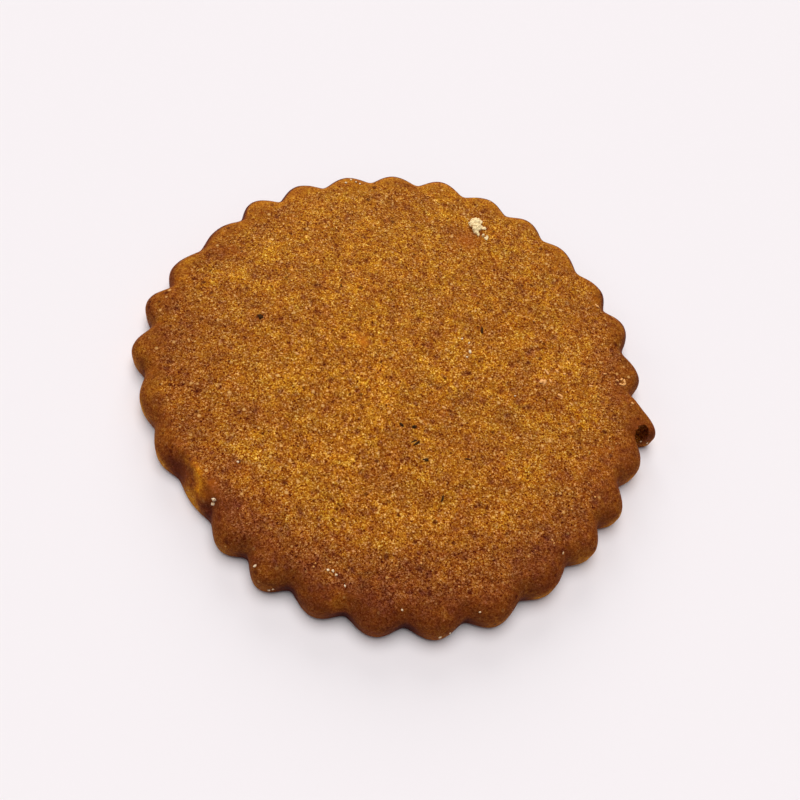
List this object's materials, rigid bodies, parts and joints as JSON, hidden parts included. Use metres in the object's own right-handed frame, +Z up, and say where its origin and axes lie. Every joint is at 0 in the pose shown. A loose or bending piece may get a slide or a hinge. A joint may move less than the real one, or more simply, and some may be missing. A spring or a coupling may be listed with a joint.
{
  "type": "ginger cookie",
  "caption": "Round flat ginger cookie with a fluted edge, lying face up; rests on its flat underside as prepared food.",
  "frame": {"origin": "middle of the flat underside, below the middle of the outline's box", "axes": "+Z up through the cookie's thickness; -Y is the side nearest the viewer in the picture, and +X is that viewer's right"},
  "size_m": [0.0634, 0.0622, 0.0051],
  "materials": {
    "crust": "matt baked crust, golden brown with a darker, redder rim",
    "pale_crumb": "dry cream crumb",
    "dark_fleck": "dry, nearly black spice"
  },
  "bodies": {
    "root": {"cookie": "crust"}
  },
  "joints": []
}
